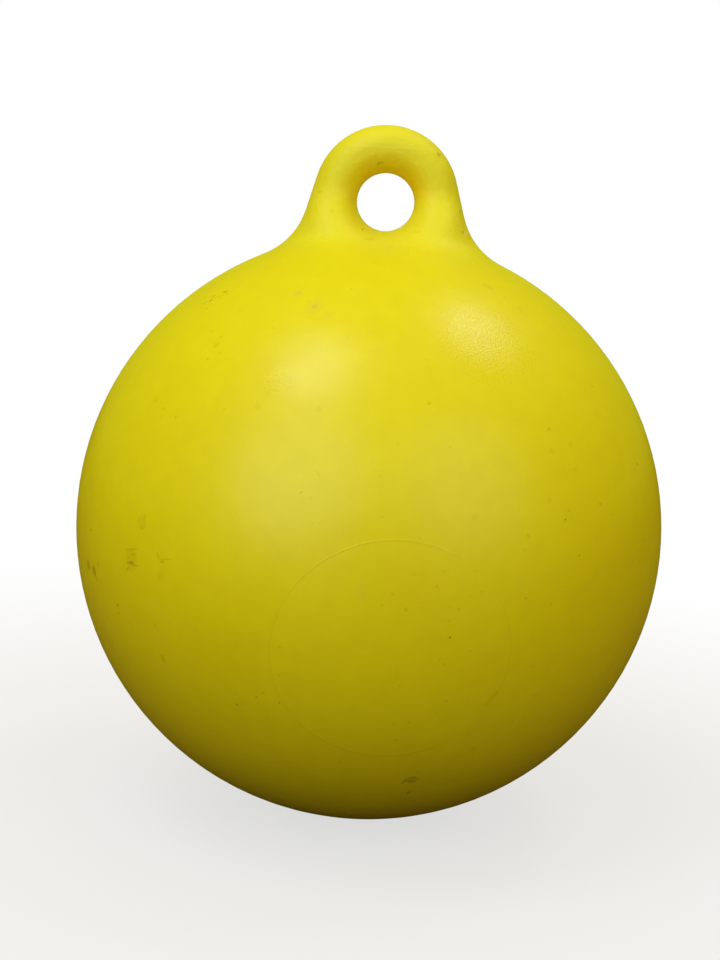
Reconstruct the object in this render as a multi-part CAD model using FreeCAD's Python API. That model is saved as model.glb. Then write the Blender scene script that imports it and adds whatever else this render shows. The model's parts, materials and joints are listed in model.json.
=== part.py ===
import FreeCAD, Part

import math
import os
from itertools import product

# Mussel float: a hollow polyethylene ball with a solid moulded eye on its crown.
# It is moulded as two half shells, welded in the plane of the eye (y = 0).
# Origin at the ball's centre, +Z up through the eye, front half towards -Y.
# All sizes are in millimetres and degrees.

# Ball
BALL_RADIUS = 150.0
WALL = 4.5

# Eye: a round hole along Y through the lug
EYE_RADIUS = 14.5
EYE_HEIGHT = 16.0            # eye's centre above the ball's crown
EYE_LAND = 0.2               # how far the drilled wall cuts into the rounded throat

# Lug around the eye
ARCH_RADIUS = 36.5
ARCH_RISE = 1.8              # arch centre above the eye's centre
LUG_HALF_DEPTH = 13.5
OUTER_ROUND = 11.0           # rounding of the lug's outer edge, seen from the front
THROAT_ROUND = 11.2          # rounding from the lug's face into the eye
FLANK_LEAN = 15.8            # the legs' outer edges lean out by this angle
SIDE_ROOT = 36.0             # fillet from leg to ball, seen from the front
APRON_RISE = 3.7             # top of the sloping apron above the eye's centre
APRON_LEAN = 38.0            # the apron leans out from the lug's face by this angle
APRON_BLEND = 4.0            # softness of the bend where face meets apron
APRON_ROOT = 25.0            # fillet from apron to ball, seen from the side
FOOT_TOP = 1.0               # where the legs' edges start to widen, below the eye's centre
FOOT_END = 22.0              # how far below the ball's crown the lug has faded out

# Filler plug, screwed into the middle of the back half
PLUG_HEAD_RADIUS = 17.0
PLUG_HEAD_THICKNESS = 3.5
PLUG_SHANK_RADIUS = 10.8
PLUG_SHANK_LENGTH = 13.0
PLUG_THREAD_GAP = 0.1
SLOT_LENGTH = 24.0
SLOT_WIDTH = 3.4
SLOT_DEPTH = 2.0
WASHER_RADIUS = 16.0
WASHER_THICKNESS = 1.5
WASHER_GAP = 0.2
SEAT_MARGIN = 2.5            # ring of free space around the plug's head
BOSS_MARGIN = 5.0            # boss wall outside the seat
BOSS_LENGTH = 11.0           # boss below the seat

# Fineness of the moulded skin
RIBS = 72                    # section ribs from the top of the eye round to its bottom
STATIONS = 48                # points along each rib

# Shop tolerances
FLAT = 1e-4                  # edges this flat lie on the parting plane
JOIN = 0.01                  # slack for joining the lug's skin to the ball

# Derived places
EYE_Z = BALL_RADIUS + EYE_HEIGHT
ARCH_Z = EYE_Z + ARCH_RISE
LUG_TOP = ARCH_Z + ARCH_RADIUS
LEAN = math.radians(FLANK_LEAN)
THROAT_RADIUS = EYE_RADIUS - EYE_LAND
SHOULDER_Z = ARCH_Z + ARCH_RADIUS * math.sin(LEAN)
FOOT_TOP_Z = EYE_Z - FOOT_TOP
FOOT_END_Z = BALL_RADIUS - FOOT_END
SEAT_RADIUS = PLUG_HEAD_RADIUS + SEAT_MARGIN
SEAT_Y = BALL_RADIUS - PLUG_HEAD_THICKNESS - WASHER_THICKNESS
OVERLAP = RIBS // 18         # ribs and stations mirrored past each edge for a smooth join

ORIGIN = FreeCAD.Vector(0, 0, 0)
ALONG_X = FreeCAD.Vector(1, 0, 0)
ALONG_Y = FreeCAD.Vector(0, 1, 0)


def filleted_side(x, z, lean, root):
    """Half-width by height of a leaning side that a fillet joins to the ball.

    The side passes through (x, z) and leans out by the angle lean as it goes down.
    """
    normal_x, normal_z = math.cos(lean), math.sin(lean)
    offset = x * normal_x + z * normal_z
    along = math.sqrt((BALL_RADIUS + root) ** 2 - (offset + root) ** 2)
    centre_x = (offset + root) * normal_x - along * normal_z
    centre_z = (offset + root) * normal_z + along * normal_x
    fillet_top = centre_z - root * normal_z
    fillet_end = centre_z * BALL_RADIUS / (BALL_RADIUS + root)

    def side(height):
        if height > fillet_top:
            return (offset - height * normal_z) / normal_x
        if height > fillet_end:
            return centre_x - math.sqrt(root ** 2 - (height - centre_z) ** 2)
        return math.sqrt(max(BALL_RADIUS ** 2 - height ** 2, 0.0))

    return side


leg_side = filleted_side(ARCH_RADIUS * math.cos(LEAN), SHOULDER_Z, LEAN, SIDE_ROOT)
apron_side = filleted_side(
    LUG_HALF_DEPTH, EYE_Z + APRON_RISE, math.radians(APRON_LEAN), APRON_ROOT
)


def half_width(height):
    """Half-width of the float's outline at a height, lug included."""
    if height > SHOULDER_Z:
        return math.sqrt(max(ARCH_RADIUS ** 2 - (height - ARCH_Z) ** 2, 0.0))
    return leg_side(height)


def half_depth(height):
    """Half-depth on the middle plane at a height: lug's face, apron, then ball."""
    apron = apron_side(height)
    if height < FOOT_END_Z:
        return apron
    overlap = max(APRON_BLEND - abs(apron - LUG_HALF_DEPTH), 0.0)
    return max(apron, LUG_HALF_DEPTH) + overlap ** 2 / (4.0 * APRON_BLEND)


def foot_share(height):
    """0 on the upright legs, 1 on the plain ball, with a smooth change between."""
    share = (FOOT_TOP_Z - height) / (FOOT_TOP_Z - FOOT_END_Z)
    share = min(max(share, 0.0), 1.0)
    return share ** 3 * (share * (6.0 * share - 15.0) + 10.0)


def edge_bend(x, height):
    """0 on the flat of the face, rising to 1 at the outline."""
    if math.atan2(height - ARCH_Z, abs(x)) > LEAN:
        inset = ARCH_RADIUS - math.hypot(x, height - ARCH_Z)
        return max(1.0 - inset / OUTER_ROUND, 0.0)
    share = foot_share(height)
    facing = math.cos(LEAN) * (1.0 - share) + share
    rounding = OUTER_ROUND * (1.0 - share) + leg_side(height) * share
    return max(1.0 - (leg_side(height) - abs(x)) * facing / rounding, 0.0)


def throat_bend(x, height):
    """0 on the flat of the face, rising to 1 at the eye's throat."""
    inset = math.hypot(x, height - EYE_Z) - THROAT_RADIUS
    return max(1.0 - inset / THROAT_ROUND, 0.0)


def skin_depth(x, height):
    """Distance of the skin from the plane of the eye."""
    edge = min(edge_bend(x, height), 1.0)
    throat = min(throat_bend(x, height), 1.0)
    return half_depth(height) * math.sqrt((1.0 - edge ** 2) * (1.0 - throat ** 2))


def throat_point(turn):
    """Point on the throat circle, by the angle from the top of the eye."""
    return THROAT_RADIUS * math.sin(turn), EYE_Z + THROAT_RADIUS * math.cos(turn)


def outline_point(turn):
    """Point on the outline that the rib at this angle around the eye runs to."""
    crown_share = ARCH_RADIUS / LUG_TOP
    part = turn / math.pi
    bearing = math.pi * (crown_share * part + (1.0 - crown_share) * part * abs(part) ** 5)
    inner, outer = 0.0, 1.1 * LUG_TOP
    for _ in range(60):
        reach = 0.5 * (inner + outer)
        x, height = reach * math.sin(bearing), reach * math.cos(bearing)
        if abs(x) < half_width(height):
            inner = reach
        else:
            outer = reach
    return inner * math.sin(bearing), inner * math.cos(bearing)


def outline_normal(turn):
    step = 1e-4
    x_before, z_before = outline_point(turn - step)
    x_after, z_after = outline_point(turn + step)
    length = math.hypot(x_after - x_before, z_after - z_before)
    return (z_before - z_after) / length, (x_after - x_before) / length


def rib(turn):
    """Points on the front skin from the throat to the outline, square to both."""
    start = throat_point(turn)
    end = outline_point(turn)
    normal = outline_normal(turn)
    reach = 0.35 * math.dist(start, end)
    leave = (start[0] + reach * math.sin(turn), start[1] + reach * math.cos(turn))
    arrive = (end[0] - reach * normal[0], end[1] - reach * normal[1])
    points = []
    for station in range(STATIONS + 1):
        t = 0.5 - 0.5 * math.cos(math.pi * station / STATIONS)
        weights = ((1 - t) ** 3, 3 * t * (1 - t) ** 2, 3 * t * t * (1 - t), t ** 3)
        x, z = (
            sum(w * corner[axis] for w, corner in zip(weights, (start, leave, arrive, end)))
            for axis in (0, 1)
        )
        at_end = station in (0, STATIONS)
        y = 0.0 if at_end else -skin_depth(x, z)
        points.append(FreeCAD.Vector(x, y, z))
    return points


def carried_past(rows, flip):
    """Rows with their mirror images added past both ends."""
    before = [flip(row) for row in rows[OVERLAP:0:-1]]
    after = [flip(row) for row in rows[-2:-OVERLAP - 2:-1]]
    return before + rows + after


def flip_y(point):
    return FreeCAD.Vector(point.x, -point.y, point.z)


def flip_rib(points):
    return [FreeCAD.Vector(-point.x, point.y, point.z) for point in points]


def flatten(surface):
    """Put the surface's edges exactly on the two mirror planes."""
    last_rib, last_station = surface.NbUPoles, surface.NbVPoles
    for rib_index, station in product((1, last_rib), range(1, last_station + 1)):
        pole = surface.getPole(rib_index, station)
        surface.setPole(rib_index, station, FreeCAD.Vector(0, pole.y, pole.z))
    for rib_index, station in product(range(1, last_rib + 1), (1, last_station)):
        pole = surface.getPole(rib_index, station)
        surface.setPole(rib_index, station, FreeCAD.Vector(pole.x, 0, pole.z))


def skin_face():
    """Front skin for x >= 0, from the eye's throat to the outline."""
    ribs = [rib(math.pi * i / RIBS) for i in range(RIBS + 1)]
    ribs = [carried_past(points, flip_y) for points in ribs]
    ribs = carried_past(ribs, flip_rib)
    surface = Part.BSplineSurface()
    surface.interpolate(ribs)
    first = surface.parameter(ribs[OVERLAP][OVERLAP])
    last = surface.parameter(ribs[-OVERLAP - 1][-OVERLAP - 1])
    surface.segment(first[0], last[0], first[1], last[1])
    flatten(surface)
    return surface.toShape()


def cylinder(radius, y_from, y_to, height=0.0):
    """Cylinder along Y between two planes, centred at a height."""
    foot = FreeCAD.Vector(0, y_from, height)
    return Part.makeCylinder(radius, y_to - y_from, foot, ALONG_Y)


def slab(z_from, z_to):
    """Everything in front of the parting plane between two heights."""
    corner = FreeCAD.Vector(-BALL_RADIUS, -BALL_RADIUS, z_from)
    return Part.makeBox(2 * BALL_RADIUS, BALL_RADIUS, z_to - z_from, corner)


def sculpted_front():
    """Front half of the float as one solid, skinned with ribs throughout."""
    right = skin_face()
    left = right.mirror(ORIGIN, ALONG_X)
    parting_edges = [
        edge for edge in right.Edges + left.Edges if edge.BoundBox.YLength < FLAT
    ]
    loops = [Part.Wire(edges) for edges in Part.sortEdges(parting_edges)]
    loops.sort(key=lambda loop: loop.BoundBox.DiagonalLength, reverse=True)
    skin = Part.Compound([right, left, Part.Face(loops)])
    skin.sewShape(FLAT)
    return Part.makeSolid(skin.Shells[0])


def front_moulding():
    """Front half of the float as one solid: sculpted lug on a true ball, eye drilled."""
    lug = sculpted_front().common(slab(FOOT_END_Z, LUG_TOP))
    ball = Part.makeSphere(BALL_RADIUS).common(slab(-BALL_RADIUS, FOOT_END_Z))
    eye = cylinder(EYE_RADIUS, -BALL_RADIUS, BALL_RADIUS, EYE_Z)
    return lug.fuse((ball,), JOIN).removeSplitter().cut(eye).Solids[0]


def shell_front(moulding):
    cavity = Part.makeSphere(BALL_RADIUS - WALL)
    return moulding.cut(cavity)


def shell_back(moulding):
    """The front's mirror image, with a boss, a seat and a hole for the filler plug."""
    boss = cylinder(SEAT_RADIUS + BOSS_MARGIN, SEAT_Y - BOSS_LENGTH, BALL_RADIUS)
    cavity = Part.makeSphere(BALL_RADIUS - WALL).cut(boss)
    seat = cylinder(SEAT_RADIUS, SEAT_Y, BALL_RADIUS)
    filler_hole = cylinder(PLUG_SHANK_RADIUS + PLUG_THREAD_GAP, 0, BALL_RADIUS)
    return moulding.mirror(ORIGIN, ALONG_Y).cut(cavity).cut(seat.fuse(filler_hole))


def plug_washer():
    face_y = SEAT_Y + WASHER_THICKNESS
    ring = cylinder(WASHER_RADIUS, SEAT_Y, face_y)
    return ring.cut(cylinder(PLUG_SHANK_RADIUS + WASHER_GAP, SEAT_Y, face_y))


def filler_plug():
    head_y = SEAT_Y + WASHER_THICKNESS
    top_y = head_y + PLUG_HEAD_THICKNESS
    head = cylinder(PLUG_HEAD_RADIUS, head_y, top_y)
    shank = cylinder(PLUG_SHANK_RADIUS, head_y - PLUG_SHANK_LENGTH, head_y)
    slot_corner = FreeCAD.Vector(-SLOT_LENGTH / 2, top_y - SLOT_DEPTH, -SLOT_WIDTH / 2)
    slot = Part.makeBox(SLOT_LENGTH, SLOT_DEPTH, SLOT_WIDTH, slot_corner)
    return head.fuse(shank).cut(slot)


def main():
    moulding = front_moulding()
    pieces = {
        "shell_front": shell_front(moulding),
        "shell_back": shell_back(moulding),
        "plug_washer": plug_washer(),
        "filler_plug": filler_plug(),
    }
    os.makedirs("parts", exist_ok=True)
    for name, shape in pieces.items():
        shape.exportStep(f"parts/{name}.step")


main()
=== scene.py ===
import json
import math
from types import SimpleNamespace

import bpy
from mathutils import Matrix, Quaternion, Vector

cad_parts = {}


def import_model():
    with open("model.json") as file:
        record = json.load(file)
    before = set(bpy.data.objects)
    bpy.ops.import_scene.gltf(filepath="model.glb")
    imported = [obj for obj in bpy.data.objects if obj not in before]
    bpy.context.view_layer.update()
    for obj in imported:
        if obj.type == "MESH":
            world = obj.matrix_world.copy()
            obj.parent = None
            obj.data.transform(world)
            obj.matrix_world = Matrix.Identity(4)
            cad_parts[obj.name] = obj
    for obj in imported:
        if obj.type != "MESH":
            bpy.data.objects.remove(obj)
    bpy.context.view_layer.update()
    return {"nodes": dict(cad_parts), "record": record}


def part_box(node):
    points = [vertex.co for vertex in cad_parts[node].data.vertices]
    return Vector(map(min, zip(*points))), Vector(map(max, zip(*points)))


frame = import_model()

MM = 0.001                              # a millimetre, in metres
FLOOR_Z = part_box("shell_front")[0].z    # the ball's lowest point, in metres
EYE = next(mount for mount in frame["record"]["mounts"] if mount["name"] == "eye")

# Sizes and places that the frame gives, in millimetres. The ball's centre is the origin.
RADIUS = round(-FLOOR_Z / MM, 3)
EYE_Z = round(EYE["pos_m"][2] / MM, 3)
EYE_RADIUS = EYE["dims"]["r_mm"]

# Heights on the lug, in millimetres.
LUG_FOOT_Z = EYE_Z - 30.0               # the lug's finish starts here
LUG_Z = EYE_Z - 14.0                    # and has replaced the ball's here
CROWN_LINE_Z = EYE_Z + 26.6             # mould line over the eye

# Blank round mark: longitude and latitude of its middle, and from there to its rim, in degrees.
MARK_PLACE = (5.3, -12.4)
MARK_REACH = 21.0

# Two grained patches of skin: longitude and latitude.
GRAINED_SHOULDER = (28.0, 45.0)
GRAINED_SPOT = (-21.0, 35.0)

# Colours, linear.
YELLOW = (0.77, 0.755, 0.006, 1)
DEEPER_YELLOW = (0.755, 0.727, 0.004, 1)
# the lug's paler skin, with painted sheen in it
LUG_SKIN_AND_SHEEN = (0.79, 0.83, 0.03, 1)
# painted shade in and over the eye
THROAT_PAINTED_SHADE = (0.84, 0.58, 0.002, 1)
SCRATCHED = (0.66, 0.62, 0.10, 1)
FLASH_YELLOW = (0.80, 0.77, 0.12, 1)
# a pale nick's real colour, and a painted highlight on the crown's ridge
FRESH_CUT_AND_HIGHLIGHT = (0.85, 0.83, 0.22, 1)
STAIN = (0.30, 0.22, 0.001, 1)
CHALK = (0.38, 0.34, 0.19, 1)
BRUISE = (0.20, 0.085, 0.001, 1)
PLUG_YELLOW = (0.70, 0.55, 0.02, 1)
WORN_PLUG_YELLOW = (0.64, 0.50, 0.03, 1)
GRIME = (0.26, 0.17, 0.01, 1)
RUBBER = (0.018, 0.018, 0.018, 1)
DUST = (0.07, 0.065, 0.055, 1)


class Graph:
    """Short names for the shader nodes used here, with lengths in millimetres.

    The functions below call their graph g, and the point being shaded place.
    """

    def __init__(self, tree):
        self.tree = tree

    def node(self, kind, **settings):
        made = self.tree.nodes.new(kind)
        for name, value in settings.items():
            setattr(made, name, value)
        return made

    def put(self, socket, value):
        if isinstance(value, bpy.types.NodeSocket):
            self.tree.links.new(value, socket)
        else:
            socket.default_value = value

    def math(self, operation, *values):
        made = self.node("ShaderNodeMath", operation=operation)
        for socket, value in zip(made.inputs, values):
            self.put(socket, value)
        return made.outputs[0]

    def chain(self, operation, values):
        result = values[0]
        for value in values[1:]:
            result = self.math(operation, result, value)
        return result

    def total(self, *values):
        return self.chain("ADD", values)

    def product(self, *values):
        return self.chain("MULTIPLY", values)

    def largest(self, *values):
        return self.chain("MAXIMUM", values)

    def off(self, value, middle):
        """How far the value is from the middle, either way."""
        return self.math("ABSOLUTE", self.math("SUBTRACT", value, middle))

    def swing(self, noise, reach):
        """Noise turned into a number within half the reach of zero."""
        return self.product(self.math("SUBTRACT", noise, 0.5), reach)

    def between(self, value, low, high, at_low=0.0, at_high=1.0):
        """Smooth step from at_low to at_high as the value goes from low to high."""
        made = self.node("ShaderNodeMapRange", interpolation_type="SMOOTHSTEP")
        for name, number in (("Value", value), ("From Min", low), ("From Max", high),
                             ("To Min", at_low), ("To Max", at_high)):
            self.put(made.inputs[name], number)
        return made.outputs[0]

    def fade(self, value, full, gone, strength=1.0):
        """The strength up to the value full, and nothing from gone on."""
        return self.between(value, full, gone, strength, 0.0)

    def vector(self, operation, *values):
        made = self.node("ShaderNodeVectorMath", operation=operation)
        for socket, value in zip(made.inputs, values):
            self.put(socket, value)
        lone_number = operation in ("DISTANCE", "LENGTH")
        return made.outputs["Value" if lone_number else "Vector"]

    def scaled(self, vector, factor):
        made = self.node("ShaderNodeVectorMath", operation="SCALE")
        self.put(made.inputs[0], vector)
        self.put(made.inputs["Scale"], factor)
        return made.outputs[0]

    def place(self):
        """The point being shaded, from its object's origin."""
        return self.scaled(self.node("ShaderNodeTexCoord").outputs["Object"], 1.0 / MM)

    def apart(self, vector):
        made = self.node("ShaderNodeSeparateXYZ")
        self.put(made.inputs[0], vector)
        return made.outputs

    def from_front(self, where):
        """The place without its depth, as it is seen along Y."""
        return self.vector("MULTIPLY", where, (1.0, 0.0, 1.0))

    def near(self, where, centre, full, gone, strength=1.0):
        """The strength up to the distance full from the centre, and nothing from gone on."""
        return self.fade(self.vector("DISTANCE", where, centre), full, gone, strength)

    def noise(self, where, size, detail=1.0, colour=False):
        made = self.node("ShaderNodeTexNoise")
        self.put(made.inputs["Vector"], where)
        made.inputs["Scale"].default_value = 1.0 / size
        made.inputs["Detail"].default_value = detail
        return made.outputs["Color" if colour else "Fac"]

    def warped(self, where, size, reach):
        """The place, pushed about by noise, which makes the edges of marks ragged."""
        push = self.vector("SUBTRACT", self.noise(where, size, colour=True), (0.5, 0.5, 0.5))
        return self.vector("ADD", where, self.scaled(push, 2.0 * reach))

    def mix(self, factor, first, second, blend="MIX"):
        made = self.node("ShaderNodeMix", data_type="RGBA", blend_type=blend)
        factor_input, first_input, second_input, colour_output = 0, 6, 7, 2
        self.put(made.inputs[factor_input], factor)
        self.put(made.inputs[first_input], first)
        self.put(made.inputs[second_input], second)
        return made.outputs[colour_output]

    def strokes(self, where, strokes, soft):
        """Each stroke's strength inside a slim oval around its two ends, fading out at its edge."""
        ovals = []
        for start, end, half_width, strength in strokes:
            length = (end - start).length
            to_ends = self.total(self.vector("DISTANCE", where, start),
                                 self.vector("DISTANCE", where, end))
            inner = math.hypot(length, 2.0 * half_width * (1.0 - soft))
            outer = math.hypot(length, 2.0 * half_width * (1.0 + soft))
            ovals.append(self.fade(to_ends, inner, outer, strength))
        return self.largest(*ovals)


def outward(longitude, latitude):
    """Direction from the ball's centre. Longitude 0 is the front (-Y), and grows towards +X."""
    lon, lat = math.radians(longitude), math.radians(latitude)
    return Vector((math.cos(lat) * math.sin(lon), -math.cos(lat) * math.cos(lon), math.sin(lat)))


def on_ball(longitude, latitude, right=0.0, up=0.0):
    """Point on the ball at a longitude and latitude, then so far to the right and up, in mm."""
    out = outward(longitude, latitude)
    rightward = outward(longitude + 90.0, 0.0)
    upward = out.cross(rightward)
    point = out * RADIUS + rightward * right + upward * up
    return point.normalized() * RADIUS


def group(longitude, latitude, *strokes):
    """Strokes near one place: both ends right and up of it, half-width, and strength."""
    placed = []
    for right, up, end_right, end_up, half_width, strength in strokes:
        start = on_ball(longitude, latitude, right, up)
        end = on_ball(longitude, latitude, end_right, end_up)
        placed.append((start, end, half_width, strength))
    return placed


def dots(radius, strength, *places):
    """Round specks of one kind, by longitude and latitude."""
    return [(on_ball(*place), on_ball(*place), radius, strength) for place in places]


def on_lug(*strokes):
    """Strokes on the lug's front: both ends right and up of the eye, half-width, and strength."""
    return [
        (Vector((right, 0.0, EYE_Z + up)), Vector((end_right, 0.0, EYE_Z + end_up)),
         half_width, strength)
        for right, up, end_right, end_up, half_width, strength in strokes
    ]


DARK_STROKES = [
    # broken streak of nicks on the left shoulder
    *group(-57.0, 51.0,
           (0.8, 5.0, 2.6, 6.2, 0.7, 0.60), (4.4, 4.0, 5.5, 5.2, 0.5, 0.25),
           (-4.5, 1.0, -3.8, 2.3, 0.6, 0.40), (-3.6, 0.0, -2.0, 0.8, 0.5, 0.20),
           (-2.4, -2.3, -1.8, -1.2, 0.7, 0.60), (-5.2, -3.8, -4.2, -2.7, 0.5, 0.35),
           (-7.0, -4.8, -5.6, -4.3, 0.4, 0.25), (1.6, -7.2, 2.0, -7.0, 0.6, 0.40),
           (1.2, 1.2, 0.2, 2.2, 0.4, 0.25), (3.7, 0.8, 4.0, 0.9, 0.5, 0.35),
           (2.2, 2.5, 3.1, 3.6, 0.4, 0.25)),
    # two bruises near the left edge, and two light touches beside them
    *group(-59.5, -6.0,
           (-13.5, 2.0, -12.0, 0.0, 2.3, 0.36), (-5.0, 1.8, -3.4, -1.4, 2.1, 0.42),
           (1.6, 5.5, 1.4, 4.0, 1.3, 0.15), (-1.8, -2.7, 0.0, -3.8, 1.2, 0.15)),
    # raked patch on the left
    *group(-46.5, -1.0,
           (-4.3, 4.4, 4.7, 6.2, 0.5, 0.22), (0.0, 2.6, 4.5, 4.0, 0.5, 0.25),
           (-2.8, 0.9, -1.6, 1.4, 0.5, 0.25), (-3.2, -1.6, 0.8, -1.0, 0.6, 0.40),
           (0.2, -1.4, 1.2, -0.6, 0.9, 0.50), (0.8, -1.0, 2.3, 0.4, 0.5, 0.40),
           (0.8, -1.1, 3.5, -2.0, 0.6, 0.45), (3.5, -1.7, 5.8, -1.6, 0.4, 0.30),
           (-4.0, -5.4, -0.8, -3.3, 0.6, 0.18), (0.0, 4.0, 1.0, -3.0, 4.0, 0.10)),
    # wisp beside the raked patch
    *group(-38.0, 1.0,
           (-3.7, 1.2, -3.3, 1.2, 0.5, 0.22), (-3.8, -0.2, -1.8, 0.6, 0.5, 0.20),
           (-3.4, -1.2, 6.0, 0.4, 0.35, 0.20), (-1.4, -1.9, 0.8, -1.4, 0.6, 0.25),
           (0.6, -5.2, -1.8, -10.0, 2.0, 0.05)),
    # scraped corner print low on the front
    *group(13.5, -42.0,
           (-4.2, -1.4, -2.6, 3.8, 0.6, 0.45), (-2.2, 4.6, 2.0, 4.8, 0.7, 0.38),
           (2.2, 4.4, 3.8, 3.2, 0.5, 0.30), (-2.8, 1.0, 2.8, 0.6, 0.6, 0.48),
           (-2.0, 2.8, 2.2, 2.8, 1.9, 0.26), (1.9, -9.0, 0.7, -12.2, 0.7, 0.35)),
    # scuffs on the back and sides
    *group(150.0, 22.0,
           (-6.0, 4.0, 4.0, -3.0, 0.6, 0.30), (-2.0, 4.5, 3.0, 1.0, 0.5, 0.22),
           (6.0, -5.0, 9.0, -7.5, 0.6, 0.28), (-9.0, -2.0, -6.5, -3.0, 0.7, 0.25)),
    *group(-138.0, -14.0,
           (-3.0, 5.0, -1.0, -4.0, 0.8, 0.30), (1.5, 2.0, 5.0, 3.5, 0.5, 0.22),
           (2.0, -2.0, 6.0, -1.0, 0.5, 0.28), (7.0, 6.0, 7.5, 3.0, 0.6, 0.20)),
    *group(102.0, -16.0,
           (-4.0, 3.0, -1.0, -2.5, 0.8, 0.30), (2.0, 4.0, 6.5, 1.0, 0.5, 0.25)),
    *group(-106.0, 28.0,
           (-5.0, 0.5, 3.0, 2.0, 0.5, 0.28), (-1.0, -3.0, 4.0, -4.5, 0.7, 0.25)),
    # single touches
    *group(-40.5, -11.5, (-0.3, 0.4, 0.1, -1.5, 0.5, 0.25)),
    *group(-9.5, 18.5, (-0.9, 2.3, 2.1, -1.0, 0.35, 0.08)),
    *group(25.0, -21.0, (2.4, 6.0, -2.4, -3.0, 0.8, 0.11)),
    # specks all round
    *dots(0.5, 0.80, (-62.5, 1.5), (-52.0, -10.5), (15.0, -8.0), (63.5, 19.0)),
    *dots(0.45, 0.55, (-52.0, -12.0), (-15.0, -22.5), (37.0, 11.5), (40.0, 5.0), (-24.0, -24.5)),
    *dots(0.5, 0.50, (128.0, -8.0), (-160.0, 30.0), (171.0, -33.0), (85.0, 30.0), (-92.0, -30.0)),
    *dots(0.45, 0.35, (-18.0, -21.0), (-19.5, -22.0), (19.0, -10.5), (13.5, -12.0), (16.0, -20.5)),
]
FAINT_STROKES = [
    # ring-shaped rub on the left
    *group(-44.0, 6.0,
           (-2.7, 2.9, -2.2, 0.0, 0.8, 0.45), (-1.8, -0.6, 0.8, -2.4, 0.8, 0.50),
           (1.3, 4.4, 2.3, 1.5, 0.7, 0.40), (2.2, 0.5, 1.2, -2.4, 0.7, 0.45),
           (-1.2, 3.6, 0.6, 4.0, 0.7, 0.25), (-0.5, 2.2, 0.4, -0.6, 2.6, 0.32)),
    # stain in the left lower half
    *group(-40.0, -18.0, (-0.4, 1.6, 0.3, -2.8, 1.0, 0.55)),
    # rubs on the right
    *group(18.5, 12.5, (-0.3, 0.6, 0.2, 0.1, 1.5, 0.25)),
    *group(41.5, 59.5, (-1.0, 1.8, 1.2, -2.0, 2.0, 0.30)),
    *group(46.5, 52.5, (1.0, 2.2, 0.0, -1.4, 1.4, 0.25)),
    # round stains, with some on the back and sides
    *dots(1.4, 0.25, (36.0, 23.5), (33.5, 15.0), (35.0, -21.0), (-23.5, 29.5), (-11.0, 30.0)),
    *dots(2.2, 0.30, (160.0, 44.0), (-150.0, 6.0), (120.0, 24.0), (-118.0, -22.0), (166.0, -14.0)),
    *dots(1.8, 0.30, (25.0, -32.5), (-41.0, 40.5), (-50.5, 28.0)),
    # soft specks in and around the round mark, and on the right
    *dots(0.75, 0.35, (14.5, -2.5), (14.5, -5.0), (12.0, 1.0), (4.5, -0.5), (3.0, -2.5),
          (14.5, -13.0), (20.0, 0.0), (34.0, -3.0)),
    *dots(0.9, 0.30, (13.0, 3.5), (8.0, 3.0), (32.5, -14.5), (38.0, 13.0), (41.0, 20.0)),
    *dots(0.9, 0.50, (7.0, -3.0), (36.5, 27.5), (46.5, 13.5)),
]
CHALKY_STROKES = [
    # chalky rubs near the crown
    *group(-19.5, 52.5,
           (-10.9, 6.9, -10.3, 6.3, 2.0, 0.45), (0.5, -1.5, 1.6, -2.5, 1.2, 0.80),
           (0.6, -1.0, 2.0, -3.0, 4.0, 0.25), (-2.9, 1.5, -2.6, 1.2, 0.8, 0.30),
           (3.8, -2.0, 4.3, -2.1, 0.8, 0.25), (8.0, -5.5, 10.5, -7.7, 2.0, 0.15)),
]
LUG_STROKES = on_lug(
    # over the eye
    (-5.2, 19.1, -3.7, 18.8, 0.6, 0.24), (-3.7, 18.9, -2.0, 19.7, 0.5, 0.24),
    (24.5, 25.4, 25.8, 24.3, 0.7, 0.32),
    # at the eye's lower edge and under it
    (-10.6, -13.7, -10.6, -13.7, 0.5, 0.35), (-9.7, -18.1, -3.9, -18.0, 0.5, 0.12),
    (15.1, -13.6, 18.0, -13.2, 0.5, 0.12),
    # left and right of the eye
    (-33.0, 3.7, -33.0, 3.7, 0.8, 0.14), (-26.0, -5.6, -26.0, -6.0, 0.9, 0.10),
    (37.1, -2.1, 37.1, -3.5, 0.5, 0.25), (38.6, -12.4, 39.4, -13.0, 0.5, 0.30),
)
LUG_NICK = on_lug((39.8, -12.8, 41.8, -13.4, 0.8, 0.80))


def new_material(name):
    """A new material, its graph, the point being shaded, and its shader."""
    made = bpy.data.materials.new(name)
    made.use_nodes = True
    g = Graph(made.node_tree)
    return made, g, g.place(), made.node_tree.nodes["Principled BSDF"]


def bumped(g, shader, height):
    """Put a height in millimetres on the surface."""
    bump = g.node("ShaderNodeBump")
    bump.inputs["Strength"].default_value = 1.0
    bump.inputs["Distance"].default_value = MM
    g.put(bump.inputs["Height"], height)
    g.put(shader.inputs["Normal"], bump.outputs[0])


def marks_of_use(g, place, ragged, fine):
    """Dark bruises and nicks, faint rubs and stains, chalky rubs, and the pale nick on the lug."""
    front_half = g.fade(g.apart(place)["Y"], -6.0, -3.0)
    seen_from_front = g.from_front(ragged)
    dark_on_lug = g.product(g.strokes(seen_from_front, LUG_STROKES, soft=0.4), front_half)
    dark = g.largest(g.strokes(ragged, DARK_STROKES, soft=0.35), dark_on_lug)
    faint = g.strokes(ragged, FAINT_STROKES, soft=0.5)
    powder = g.between(fine, 0.35, 0.65, at_low=0.5)
    chalky = g.product(g.strokes(ragged, CHALKY_STROKES, soft=0.6), powder)
    nick = g.product(g.strokes(seen_from_front, LUG_NICK, soft=0.4), front_half)
    return dark, faint, chalky, nick


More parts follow.
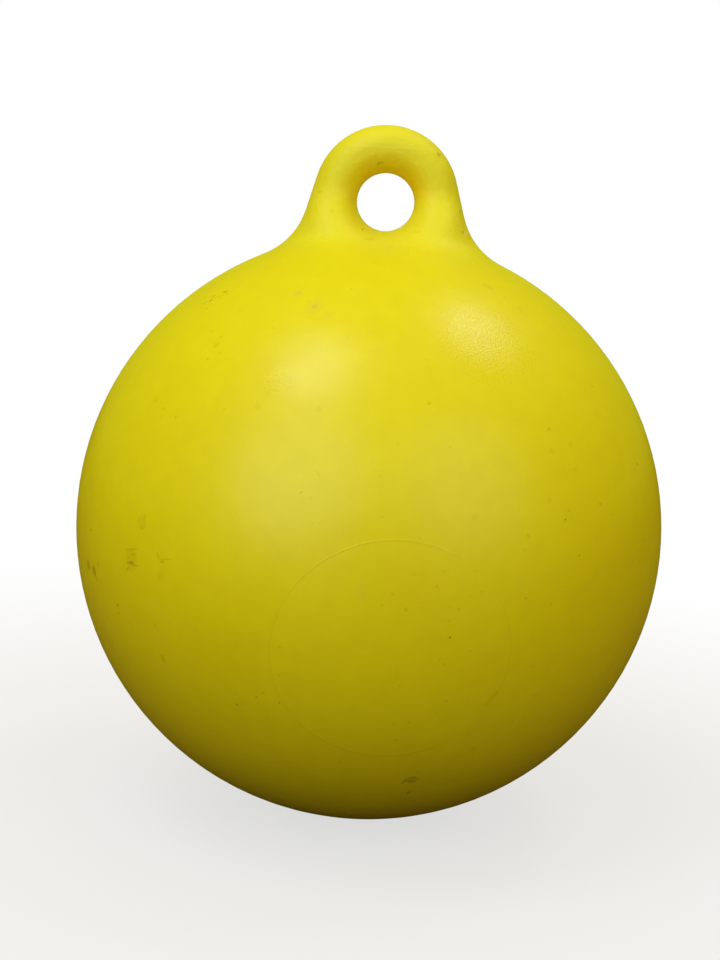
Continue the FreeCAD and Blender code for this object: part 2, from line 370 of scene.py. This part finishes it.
def grit(g, place, ragged, lug):
    """Small specks all over the ball, in drifts, with none on the lug."""
    spacing = 6.0
    cells = g.node("ShaderNodeTexVoronoi")
    g.put(cells.inputs["Vector"], ragged)
    cells.inputs["Scale"].default_value = 1.0 / spacing
    drifts = g.noise(place, size=55.0, detail=2.0)
    share_of_cell = g.between(drifts, 0.40, 0.65, at_low=0.02, at_high=0.15)
    specks = g.fade(g.math("SUBTRACT", cells.outputs["Distance"], share_of_cell), -0.04, 0.04)
    cell_numbers = g.node("ShaderNodeSeparateColor")
    g.put(cell_numbers.inputs[0], cells.outputs["Color"])
    depth = g.between(cell_numbers.outputs[0], 0.45, 0.95)
    return g.product(specks, depth, g.math("SUBTRACT", 1.0, lug))


def hairlines(g, place):
    """Upright hairline scratches, in patches on the front and back."""
    drawn_out_upright = g.vector("MULTIPLY", place, (0.3, 0.0, 0.005))
    lines = g.fade(g.off(g.noise(drawn_out_upright, size=1.0, detail=0.0), 0.5), 0.0, 0.025)
    patches = g.between(g.noise(place, size=22.0), 0.50, 0.65)
    front_and_back = g.fade(g.off(g.apart(place)["X"], 0.0), 0.4 * RADIUS, 0.7 * RADIUS)
    return g.product(lines, patches, front_and_back)


def round_mark(g, place):
    """The round mark's disc, flatter and a little duller, and the hairline ridge around it."""
    off_middle = g.vector("DISTANCE", place, on_ball(*MARK_PLACE))
    to_rim = 2.0 * RADIUS * math.sin(math.radians(MARK_REACH / 2.0))
    disc = g.fade(off_middle, to_rim - 0.5, to_rim + 0.5)
    fainter = g.between(g.noise(place, size=40.0), 0.38, 0.58, at_low=0.35)
    rim = g.product(g.fade(g.off(off_middle, to_rim), 0.0, 0.55), fainter)
    return disc, rim


def eye_throat(g, place):
    """Painted shade: a deeper, more orange tone around the eye, most of all over it."""
    around = g.near(g.from_front(place), (0.0, 0.0, EYE_Z),
                    full=EYE_RADIUS - 0.5, gone=2.0 * EYE_RADIUS, strength=0.80)
    over = g.between(g.apart(place)["Z"], EYE_Z - 8.0, EYE_Z + 16.0, at_low=0.2)
    return g.product(around, over)


def crown_line(g, place):
    """Soft swell and fine ridge of the mould line over the eye. The ridge also carries a painted
    highlight in the colour.
    """
    off_line = g.off(g.apart(place)["Z"], CROWN_LINE_Z)
    middle = g.fade(g.off(g.apart(place)["X"], 0.0), 14.0, 24.0)
    swell = g.product(g.fade(off_line, 0.0, 5.0), middle)
    ridge = g.product(g.fade(off_line, 0.0, 0.7), middle)
    return swell, ridge


def parting_flash(g, place):
    """Thin flash along the parting line, where the half shells meet at y = 0."""
    wander = g.swing(g.noise(place, size=12.0), 0.5)
    off_parting = g.off(g.total(g.apart(place)["Y"], wander), 0.0)
    return g.fade(off_parting, 0.15, 0.45)


def grained_skin(g, place):
    """Grainy skin on the right shoulder, and in a spot on the left."""
    shoulder = g.near(place, on_ball(*GRAINED_SHOULDER), full=10.0, gone=34.0)
    spot = g.near(place, on_ball(*GRAINED_SPOT), full=2.0, gone=13.0, strength=0.8)
    return g.largest(shoulder, spot)


def shell_masks(g, place):
    """Strengths from 0 to 1 of what shows on the shells."""
    masks = SimpleNamespace()
    masks.fine = g.noise(place, size=0.9, detail=2.0)
    masks.lug = g.between(g.apart(place)["Z"], LUG_FOOT_Z, LUG_Z)
    ragged = g.warped(place, size=1.2, reach=0.7)
    masks.dark, masks.faint, masks.chalky, masks.nick = marks_of_use(g, place, ragged, masks.fine)
    masks.grit = grit(g, place, ragged, masks.lug)
    masks.hairlines = hairlines(g, place)
    masks.disc, masks.rim = round_mark(g, place)
    masks.throat = eye_throat(g, place)
    masks.swell, masks.ridge = crown_line(g, place)
    masks.flash = parting_flash(g, place)
    masks.grained = grained_skin(g, place)
    return masks


def shell_colour(g, place, masks):
    """The plastic's yellow, and over it each layer in turn, by its strength: marks of use, and
    painted sheen, shade and highlight on the lug.
    """
    broad = g.between(g.noise(place, size=80.0, detail=2.0), 0.35, 0.7)
    shade = g.total(1.0, g.swing(masks.fine, 0.04), g.swing(g.noise(place, size=9.0), 0.08))
    colour = g.mix(1.0, g.mix(broad, YELLOW, DEEPER_YELLOW), shade, "MULTIPLY")
    layers = (
        # the lug's paler skin, with painted sheen in it
        (g.product(masks.lug, 0.6), LUG_SKIN_AND_SHEEN),
        (g.product(masks.hairlines, 0.08), SCRATCHED),
        (g.product(masks.grit, 0.21), STAIN),
        (g.product(masks.rim, 0.07), STAIN),
        # painted shade in and over the eye
        (masks.throat, THROAT_PAINTED_SHADE),
        # painted highlight along the crown's ridge, and the real pale nick
        (g.largest(g.product(masks.ridge, 0.25), masks.nick), FRESH_CUT_AND_HIGHLIGHT),
        (g.product(masks.faint, 0.4), STAIN),
        (g.product(masks.chalky, 0.5), CHALK),
        (masks.dark, BRUISE),
        (g.product(masks.flash, 0.3), FLASH_YELLOW),
    )
    for strength, tone in layers:
        colour = g.mix(strength, colour, tone)
    return colour


def shell_roughness(g, place, masks):
    """Satin all over, duller on the lug and where worn, with glossy glints in the grained skin."""
    glints = g.between(g.noise(place, size=1.3), 0.50, 0.62)
    worn = g.largest(masks.dark, masks.faint, masks.chalky)
    return g.total(
        0.35,
        g.swing(g.noise(place, size=35.0), 0.16),
        g.swing(masks.fine, 0.08),
        g.product(worn, 0.12),
        g.product(masks.hairlines, 0.10),
        g.product(masks.lug, 0.20),
        g.product(masks.disc, 0.04),
        g.product(masks.grained, -0.04),
        g.product(masks.grained, glints, -0.20),
    )


def shell_relief(g, place, masks):
    """Height in millimetres: first the plastic's waves and grain, then what is moulded on it."""
    pebble = g.total(0.022, g.product(masks.disc, -0.01), g.product(masks.grained, 0.015))
    return g.total(
        g.product(g.noise(place, size=70.0), 0.25),
        g.product(g.noise(place, size=1.5), pebble),
        g.product(g.noise(place, size=0.8), masks.grained, 0.18),
        g.product(g.noise(place, size=4.0), masks.lug, 0.35),
        g.product(masks.disc, 0.015),
        g.product(masks.rim, 0.05),
        g.product(masks.swell, 0.10),
        g.product(masks.ridge, 0.05),
        g.product(masks.flash, 0.10),
    )


def shell_material():
    made, g, place, shader = new_material("shell")
    masks = shell_masks(g, place)
    g.put(shader.inputs["Base Color"], shell_colour(g, place, masks))
    g.put(shader.inputs["Roughness"], shell_roughness(g, place, masks))
    shader.inputs["IOR"].default_value = 1.5
    bumped(g, shader, shell_relief(g, place, masks))
    return made


def plug_material():
    made, g, place, shader = new_material("plug")
    fine = g.noise(place, size=0.8, detail=3.0)
    wear = g.between(g.noise(place, size=6.0, detail=4.0), 0.45, 0.7)
    grime = g.between(g.noise(place, size=3.0, detail=4.0), 0.55, 0.75, at_high=0.6)
    colour = g.mix(grime, g.mix(wear, PLUG_YELLOW, WORN_PLUG_YELLOW), GRIME)
    g.put(shader.inputs["Base Color"], colour)
    g.put(shader.inputs["Roughness"], g.total(0.45, g.product(wear, 0.15), g.product(fine, 0.1)))
    bumped(g, shader, g.total(g.product(fine, 0.02), g.product(g.noise(place, size=3.0), 0.05)))
    return made


def washer_material():
    made, g, place, shader = new_material("washer")
    dust = g.between(g.noise(place, size=2.0, detail=4.0), 0.45, 0.7)
    g.put(shader.inputs["Base Color"], g.mix(dust, RUBBER, DUST))
    g.put(shader.inputs["Roughness"], g.total(0.65, g.product(dust, 0.2)))
    bumped(g, shader, g.product(g.noise(place, size=0.6), 0.02))
    return made


def dress():
    shell, plug, washer = shell_material(), plug_material(), washer_material()
    for node, material in (("shell_front", shell), ("shell_back", shell),
                           ("filler_plug", plug), ("plug_washer", washer)):
        frame["nodes"][node].material_slots[0].material = material


def camera():
    """Six ball radii away in front, about level with the eye, and rolled a little."""
    data = bpy.data.cameras.new("camera")
    data.sensor_fit = "VERTICAL"
    data.sensor_height = 36.0
    data.lens = 64.9
    degrees_up, degrees_rolled = 10.86, 2.96
    stand = outward(0.0, degrees_up) * 6.0 * RADIUS * MM
    middle_of_view = Vector((-5.7, 4.3, 22.9)) * MM
    placed = bpy.data.objects.new("camera", data)
    bpy.context.scene.collection.objects.link(placed)
    placed.location = stand
    placed.rotation_mode = "QUATERNION"
    look = (middle_of_view - stand).to_track_quat("-Z", "Y")
    placed.rotation_quaternion = look @ Quaternion((0, 0, 1), math.radians(degrees_rolled))
    bpy.context.scene.camera = placed


def world():
    """Dim warm light all round, greener for blurred reflections, that is seen as white."""
    studio = bpy.data.worlds.new("studio")
    bpy.context.scene.world = studio
    studio.use_nodes = True
    g = Graph(studio.node_tree)
    warm, greener, white = (0.64, 0.42, 0.065, 1), (0.38, 0.50, 0.03, 1), (1, 1, 1, 1)
    blurred = g.node("ShaderNodeLightPath").outputs["Is Glossy Ray"]
    around = g.mix(blurred, warm, greener)
    background = studio.node_tree.nodes["Background"]
    g.put(background.inputs["Color"], g.mix(seen(g), around, white))


def seen(g):
    """1 for rays that show a thing: the camera's, those through glass, and sharp reflections.

    Blurred reflections in satin plastic carry light, so they see the plain studio instead.
    """
    path = g.node("ShaderNodeLightPath").outputs
    mirrored = g.product(path["Is Glossy Ray"], path["Is Singular Ray"])
    return g.largest(path["Is Camera Ray"], path["Is Transmission Ray"], mirrored)


def lamp(name, bearing, height, distance, size, power):
    """Soft round lamp aimed at the ball's centre.

    It stands over a longitude (bearing) and latitude (height), with its distance and size in
    metres and its power in watts.
    """
    data = bpy.data.lights.new(name, "AREA")
    data.shape = "DISK"
    data.size = size
    data.energy = power
    data.color = (0.94, 1.0, 0.96)
    placed = bpy.data.objects.new(name, data)
    bpy.context.scene.collection.objects.link(placed)
    placed.location = outward(bearing, height) * distance
    placed.rotation_mode = "QUATERNION"
    placed.rotation_quaternion = (-placed.location).to_track_quat("-Z", "Y")
    return placed


def lamps():
    """The rear lamp lights the edges, with no bright line of its own along them."""
    lamp("key", bearing=-47.0, height=63.0, distance=1.8, size=0.75, power=6.0)
    lamp("back", bearing=112.0, height=62.6, distance=1.8, size=0.5, power=3.2)
    lamp("front", bearing=-29.0, height=25.0, distance=2.0, size=1.7, power=12.0)
    lamp("side", bearing=36.0, height=26.0, distance=2.0, size=1.7, power=6.0)
    rear = lamp("rear", bearing=180.0, height=14.0, distance=2.0, size=1.7, power=9.0)
    rear.visible_glossy = False


def floor():
    """Floor under the ball, which is seen as white with a soft shadow, and throws little light.

    What is seen is a pale floor and a white glow, mixed with less glow near the ball.
    """
    bpy.ops.mesh.primitive_plane_add(size=30.0, location=(0, 0, FLOOR_Z))
    plane = bpy.context.object
    plane.name = "floor"
    made = bpy.data.materials.new("floor")
    made.use_nodes = True
    made.node_tree.nodes.clear()
    g = Graph(made.node_tree)
    pale = g.node("ShaderNodeBsdfDiffuse")
    pale.inputs["Color"].default_value = (0.60, 0.68, 1.0, 1)
    dim = g.node("ShaderNodeBsdfDiffuse")
    dim.inputs["Color"].default_value = (0.09, 0.06, 0.03, 1)
    glow = g.node("ShaderNodeEmission")
    glow_share = g.between(g.vector("LENGTH", g.place()), 120.0, 650.0, at_low=0.68)
    shown = g.node("ShaderNodeMixShader")
    for socket, value in zip(shown.inputs, (glow_share, pale.outputs[0], glow.outputs[0])):
        g.put(socket, value)
    choice = g.node("ShaderNodeMixShader")
    for socket, value in zip(choice.inputs, (seen(g), dim.outputs[0], shown.outputs[0])):
        g.put(socket, value)
    g.put(g.node("ShaderNodeOutputMaterial").inputs["Surface"], choice.outputs[0])
    plane.data.materials.append(made)


camera()
world()
lamps()
floor()
dress()
bpy.context.scene.view_settings.view_transform = "Standard"
